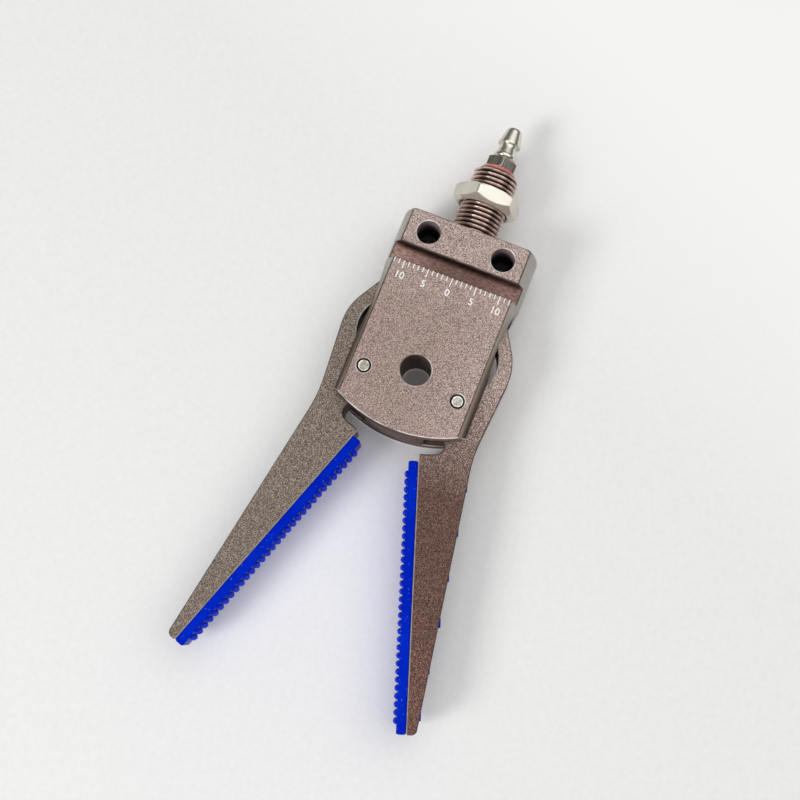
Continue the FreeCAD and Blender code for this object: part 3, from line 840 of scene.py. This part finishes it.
# The edges: dark, with a painted highlight along the pad and another round the hollow above the pivot,
# broken up by noise.
out = less(tree, sums(tree, "ABSOLUTE", x), pivot_x)
up = less(tree, z, pivot_z)
outward = sums(tree, "MULTIPLY_ADD", out, math.cos(open_angle), times(tree, up, math.sin(open_angle)))
upright = sums(tree, "MULTIPLY_ADD", up, math.cos(open_angle), times(tree, out, -math.sin(open_angle)))
from_hollow = spread(tree, less(tree, outward, hollow_out), less(tree, upright, hollow_rise))
wear_and_glint_noise = noise(tree, point, scale=300.0, detail=1.0)
# Painted highlight: bright edges round the hollow above the pivot and along the pad.
hollow_highlight = inside(tree, from_hollow, hollow_reach, ranged(tree, wear_and_glint_noise, 0.36, 0.52, 0.3, 1.0))
along_pad = inside(tree, outward, face_out + rim_width)
edge_dark_and_glint_tone = blended(tree, along_pad, tone(72, 62, 56), tone(190, 180, 174))
edge_dark_and_glint_tone = blended(tree, hollow_highlight, edge_dark_and_glint_tone, tone(244, 241, 236))
filed = used(
    tree, filing, Colour=surface, Edge_Colour=edge_dark_and_glint_tone, Roughness=grain["Roughness"], Edge_Metal=0.1,
)
wired(
    tree, shader.inputs, Base_Color=filed["Colour"], Roughness=filed["Roughness"],
    Metallic=filed["Metallic"],
)
bumped(tree, shader, grain["Height"], depth=0.014 * MM)
for hand in ("left", "right"):
    finger = dressed(eased_copy(hand + "_lever", hand + "_finger", edge_break), finger_finish)
    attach(finger, hand + "_jaw")
    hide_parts(hand + "_finger")


# Pads: vivid blue moulded rubber strips with bead-like cross ribs, one on the inner face of each finger.
# Tails moulded on the back are pulled through holes in the finger and stand a little proud outside.
row_rule, given, made = growing(
    "row_of_shapes", Geometry="Geometry", Count="Int", Start="Vector", Step="Vector", First_Scale="Vector",
    Scale_Step="Vector", Scale_Spread="Vector", Seed="Int", Material="Material",
)
tree = row_rule
index = add(tree, "GeometryNodeInputIndex").outputs[0]
even = vectors(tree, "ADD", given["First Scale"], vectors(tree, "SCALE", given["Scale Step"], index))
draw = {"ID": index, "Seed": given["Seed"]}
chance = add(tree, "FunctionNodeRandomValue", draw, data_type="FLOAT").outputs[1]
scale = vectors(tree, "ADD", even, vectors(tree, "SCALE", given["Scale Spread"], chance))
handed_out(tree, in_row(tree, given, "Count", given["Step"], scale), given, made)

pad_finish, tree, shader = finish_named("blue_rubber")
point = spot(tree)
rib = marked(tree, "rib")
bloom = noise(tree, point, scale=160.0, detail=3.0)
mould = noise(tree, point, scale=1900.0, detail=4.0, roughness=0.6)
dust = noise(tree, point, scale=2400.0, detail=1.0)
blue = faded(tree, bloom, 0.35, 0.7, tone(0, 32, 182), tone(2, 42, 196))
# Painted highlight: the ribs are painted a lighter blue than the strip, most toward their crests.
blue = faded(tree, rib, 0.45, 0.9, blue, tone(3, 56, 228))
blue = faded(tree, mould, 0.6, 0.8, blue, tone(16, 56, 206), most=0.5)
blue = faded(tree, dust, 0.7, 0.78, blue, tone(120, 150, 236), most=0.5)
matt = sums(tree, "MULTIPLY_ADD", rib, 0.4, ranged(tree, bloom, 0.3, 0.7, 0.2, 0.3))
wired(
    tree, shader.inputs, Base_Color=blue, Roughness=matt, Specular_IOR_Level=0.08,
    Specular_Tint=tone(40, 96, 255),
)
bumped(tree, shader, mould, depth=0.012 * MM)

shoulder = -10.5
pad_top = (shoulder - 1.4) * MM
pad_foot = (shoulder - 55.6) * MM
pad_base = 2.0 * MM
pad_half_depth = 3.6 * MM
pad_easing = 0.43 * MM
rib_pitch = 1.59 * MM
rib_radius = 0.72 * MM
rib_height = 0.78 * MM
rib_count = 32
rib_setback = 0.1 * MM
rib_foot_mark = 0.3
tail_count = 6
tail_radius = 0.98 * MM
tail_easing = 0.15 * MM
tail_root = 0.3 * MM
tail_first = (shoulder - 6.1) * MM
tail_pitch = 9.2 * MM
tail_least = 0.06 * MM
tail_most = 0.34 * MM


def outer_edge(rise):
    """Distance out from the pivot of the finger's tapered outer edge."""
    knee_out, knee_rise = 3.85 * MM, -10.1 * MM
    tip_out = face_out + 2.0 * MM
    return tip_out + (rise - pad_foot) / (knee_rise - pad_foot) * (knee_out - tip_out)


def eased_box(name, low, high, width):
    """Box with rounded edges."""
    work = bmesh.new()
    bmesh.ops.create_cube(work, size=1.0)
    work.transform(Matrix.Translation((low + high) / 2) @ Matrix.Diagonal((*(high - low), 1)))
    bmesh.ops.bevel(work, geom=work.edges[:], offset=width, segments=3, profile=0.5, affect="EDGES")
    return shown(name, meshed(name, work))


def round_bar(name, radius, ease, end_share, around):
    """Round bar along Z, one unit long, with its far end eased over a share of the length."""
    work = bmesh.new()
    levels = [(radius, 0.0)]
    for k in range(4):
        angle = math.pi / 6 * k
        levels.append((radius - ease * (1 - math.cos(angle)), 1 - end_share * (1 - math.sin(angle))))
    turns = [2 * math.pi * i / around for i in range(around)]
    rings = [[work.verts.new((r * math.cos(a), r * math.sin(a), rise)) for a in turns] for r, rise in levels]
    for low_ring, high_ring in zip(rings, rings[1:]):
        for i in range(around):
            j = (i + 1) % around
            work.faces.new((low_ring[i], low_ring[j], high_ring[j], high_ring[i]))
    work.faces.new(list(reversed(rings[0])))
    work.faces.new(rings[-1])
    return meshed(name, work)


bead = bmesh.new()
bmesh.ops.create_uvsphere(bead, u_segments=14, v_segments=10, radius=1.0)
bead.transform(quarter("X"))
bead.transform(Matrix.Diagonal((rib_height, pad_half_depth - rib_setback, rib_radius, 1)))
rib_mesh = meshed("rib", bead)
tail_mesh = round_bar("tail", tail_radius, tail_easing, end_share=0.02, around=20)
tail_mesh.transform(quarter("Y"))

ribs_face = face_out - pad_base
strip_low = Vector((ribs_face, -pad_half_depth, pad_foot))
strip_high = Vector((face_out, pad_half_depth, pad_top))
first_rib = (pad_top + pad_foot) / 2 + rib_pitch * (rib_count - 1) / 2
first_length = outer_edge(tail_first) + tail_least - face_out
length_step = outer_edge(tail_first - tail_pitch) - outer_edge(tail_first)
hung = Matrix.Translation((pivot_x, 0, pivot_z)) @ Matrix.Rotation(-open_angle, 4, "Y")
for side, hand in ((-1, "left"), (1, "right")):
    strip = eased_box("strip", strip_low, strip_high, pad_easing)
    ribs = grown(
        "ribs", row_rule, rib_mesh, Count=rib_count, Start=Vector((ribs_face, 0, first_rib)),
        Step=Vector((0, 0, -rib_pitch)), First_Scale=Vector((1, 1, 1)), Scale_Step=Vector((0, 0, 0)),
        Material=pad_finish,
    )
    tails = grown(
        "tails", row_rule, tail_mesh, Count=tail_count, Start=Vector((face_out - tail_root, 0, tail_first)),
        Step=Vector((0, 0, -tail_pitch)), First_Scale=Vector((first_length + tail_root, 1, 1)),
        Scale_Step=Vector((length_step, 0, 0)), Scale_Spread=Vector((tail_most - tail_least, 0, 0)),
        Seed=158, Material=pad_finish,
    )
    pad = dressed(joined(hand + "_ribbed_pad", [strip, ribs, tails]), pad_finish)
    rib_mark = pad.data.attributes.new("rib", "FLOAT", "POINT")
    heights = [(ribs_face - vertex.co.x) / rib_height for vertex in pad.data.vertices]
    ribness = [rib_foot_mark + (1 - rib_foot_mark) * max(0.0, h) if h > -0.1 else 0.0 for h in heights]
    rib_mark.data.foreach_set("value", ribness)
    pad.data.transform(Matrix.Diagonal((side, 1, 1, 1)) @ hung)
    if side < 0:
        pad.data.flip_normals()
    smoothed(pad.data, degrees=50)
    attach(pad, hand + "_jaw")
    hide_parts(hand + "_pad")


# Springs: cold-drawn steel wire, one round the piston rod in the cylinder and one across the web.
# The first lifts the piston when the air goes and the second, below the pivots, pushes the fingers open.
spring_rule, given, made = growing(
    "coil_spring", Turns="Float", Radius="Float", Height="Float", Wire_Radius="Float", Material="Material",
)
tree = spring_rule
coil = {
    "Resolution": 28, "Rotations": given["Turns"], "Start Radius": given["Radius"],
    "End Radius": given["Radius"], "Height": given["Height"],
}
spiral = add(tree, "GeometryNodeCurveSpiral", coil).outputs[0]
section = {"Resolution": 12, "Radius": given["Wire Radius"]}
circle = add(tree, "GeometryNodeCurvePrimitiveCircle", section).outputs[0]
swept = {"Curve": spiral, "Profile Curve": circle, "Fill Caps": True}
handed_out(tree, add(tree, "GeometryNodeCurveToMesh", swept).outputs[0], given, made)

spring_finish, tree, shader = finish_named("spring_wire")
plate = used(
    tree, plating, Colour=tone(168, 166, 160), Dull_Colour=tone(120, 116, 110), Gloss_Roughness=0.28,
)
wired(tree, shader.inputs, Base_Color=plate["Colour"], Roughness=plate["Roughness"], Metallic=1.0)
bumped(tree, shader, plate["Height"], depth=0.004 * MM)

low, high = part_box("piston_return_spring")
wire = 0.25 * MM
lifting_length = high.z - low.z
lifting = grown(
    "return_spring_wire", spring_rule, Turns=6.0, Radius=2.45 * MM, Height=lifting_length - 2 * wire,
    Wire_Radius=wire, Material=spring_finish,
)
lifting.data.transform(Matrix.Translation((0, 0, low.z + wire)))
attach(lifting, "housing")
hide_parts("piston_return_spring")
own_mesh(lifting)

low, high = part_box("opening_spring")
wire = 0.275 * MM
opening = grown(
    "opening_spring_wire", spring_rule, Turns=8.0, Radius=1.725 * MM, Height=high.x - low.x - 2 * wire,
    Wire_Radius=wire, Material=spring_finish,
)
opening.data.transform(Matrix.Translation((low.x + wire, 0, (low.z + high.z) / 2)) @ quarter("Y"))
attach(opening, "housing")
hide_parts("opening_spring")
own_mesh(opening)


# Inner works: brass piston with a rubber ring on a steel rod, a hardened wedge pinned to its foot, bushes.
# They slide and turn inside the body, lightly greased, where little of them shows.
for name, light, dark, metal, stretch, inner_nodes in (
    (
        "sliding_steel", tone(190, 186, 178), tone(140, 136, 128), 0.95, (900.0, 900.0, 5200.0),
        ("piston_rod", "spreader_wedge", "wedge_pin"),
    ),
    (
        "turned_brass", tone(196, 158, 98), tone(150, 112, 62), 0.9, (600.0, 600.0, 5200.0),
        ("piston", "rod_guide_bush", "left_pivot_bush", "right_pivot_bush"),
    ),
    ("black_seal", tone(30, 30, 31), tone(20, 20, 21), 0.0, (1500.0, 1500.0, 1500.0), ("piston_seal",)),
):
    inner_finish, tree, shader = finish_named(name)
    lines = used(tree, cutting, Colour=light, Line_Colour=dark, Stretch=stretch)
    gloss = ranged(tree, lines["Height"], 0.3, 0.7, 0.28, 0.45)
    wired(tree, shader.inputs, Base_Color=lines["Colour"], Roughness=gloss, Metallic=metal)
    bumped(tree, shader, lines["Height"], depth=0.006 * MM)
    for node in inner_nodes:
        dressed(nodes[node], inner_finish)


# Studio: the gripper lies on its back on a pale table under soft light, with the camera over it.
# The table is drawn from the front only and lets a lamp below it through, so that other views show the back.
table_half = 1.2
table_y = cad_high.y + 0.03 * MM
window_x, window_z = 0.403, 0.915
table_finish, tree, shader = finish_named("pale_table")
point = spot(tree)
x, _, z = parts(tree, point)
paper = noise(tree, point, scale=900.0, detail=4.0)
white = faded(tree, paper, 0.3, 0.7, tone(236, 236, 235), tone(240, 240, 239))
# Painted light: the table is painted lighter toward the shank end and the right, as light from a window.
window_light_reach = sums(tree, "MULTIPLY_ADD", z, window_z, times(tree, x, window_x))
white = faded(tree, window_light_reach, -5.0 * MM, 60.0 * MM, white, tone(252, 252, 251))
wired(tree, shader.inputs, Base_Color=white, Roughness=0.6)
see_through = add(tree, "ShaderNodeBsdfTransparent").outputs[0]
from_behind = add(tree, "ShaderNodeNewGeometry").outputs["Backfacing"]
to_lamp = add(tree, "ShaderNodeLightPath").outputs["Is Shadow Ray"]
opened = sums(tree, "MAXIMUM", from_behind, to_lamp)
one_sided = add(tree, "ShaderNodeMixShader", {0: opened, 1: shader.outputs[0], 2: see_through}).outputs[0]
wired(tree, tree.nodes["Material Output"].inputs, Surface=one_sided)
table_mesh = bpy.data.meshes.new("table")
corners = [(i * table_half, table_y, k * table_half) for i, k in ((-1, -1), (1, -1), (1, 1), (-1, 1))]
table_mesh.from_pydata(corners, [], [(0, 1, 2, 3)])
table = dressed(shown("table", table_mesh), table_finish)

scene = bpy.context.scene
scene.view_settings.view_transform = "Standard"
camera_place = (0.01954, -0.25871, -0.0786)
looking = Vector((-0.0792, 0.9846, 0.1556)).normalized()
upward = Vector((-0.3622, -0.1738, 0.9157))
sideways = looking.cross(upward).normalized()
upward = sideways.cross(looking)
camera_data = bpy.data.cameras.new("camera")
camera_data.lens = 56.88
camera_data.clip_start = 0.01
camera = shown("camera", camera_data)
facing = Matrix((sideways, upward, -looking)).transposed().to_4x4()
camera.matrix_world = Matrix.Translation(camera_place) @ facing
scene.camera = camera

lamp_size = 0.5
middle = Vector((0, 0, -0.035))
for name, away, power in (
    ("key", -sideways - upward * 0.4 - looking, 9.0), ("below", Vector((0.15, 1.4, 0.3)), 11.0),
):
    lamp_data = bpy.data.lights.new(name, "AREA")
    lamp_data.size = lamp_size
    lamp_data.energy = power
    lamp = shown(name, lamp_data)
    lamp.location = middle + away
    lamp.rotation_euler = (-away).to_track_quat("-Z", "Y").to_euler()
    lamp.visible_glossy = name == "key"

softbox = Vector((0.2, -0.93, 0.3)).normalized()
foot_end = (0.0, -0.33, -0.94)
softbox_light = (1.45, 1.45, 1.45, 1)
wall_light = (0.2, 0.2, 0.2, 1)
horizon_light = (0.05, 0.05, 0.05, 1)
foot_light = (0.85, 0.85, 0.85, 1)
backdrop = (0.93, 0.93, 0.93, 1)
world = bpy.data.worlds.new("studio")
scene.world = world
world.use_nodes = True
tree = world.node_tree
direction = add(tree, "ShaderNodeTexCoord").outputs["Generated"]
to_softbox = vectors(tree, "DOT_PRODUCT", direction, softbox)
to_foot = vectors(tree, "DOT_PRODUCT", direction, foot_end)
height = times(tree, parts(tree, direction)["Y"], -1.0)
room = faded(tree, to_softbox, 0.68, 0.88, wall_light, softbox_light)
room = blended(tree, ranged(tree, height, 0.1, 0.45, 0.6, 0.0), room, horizon_light)
room = faded(tree, to_foot, 0.75, 0.95, room, foot_light)
seen = add(tree, "ShaderNodeLightPath").outputs["Is Camera Ray"]
wired(tree, tree.nodes["Background"].inputs, Color=blended(tree, seen, room, backdrop), Strength=1.0)
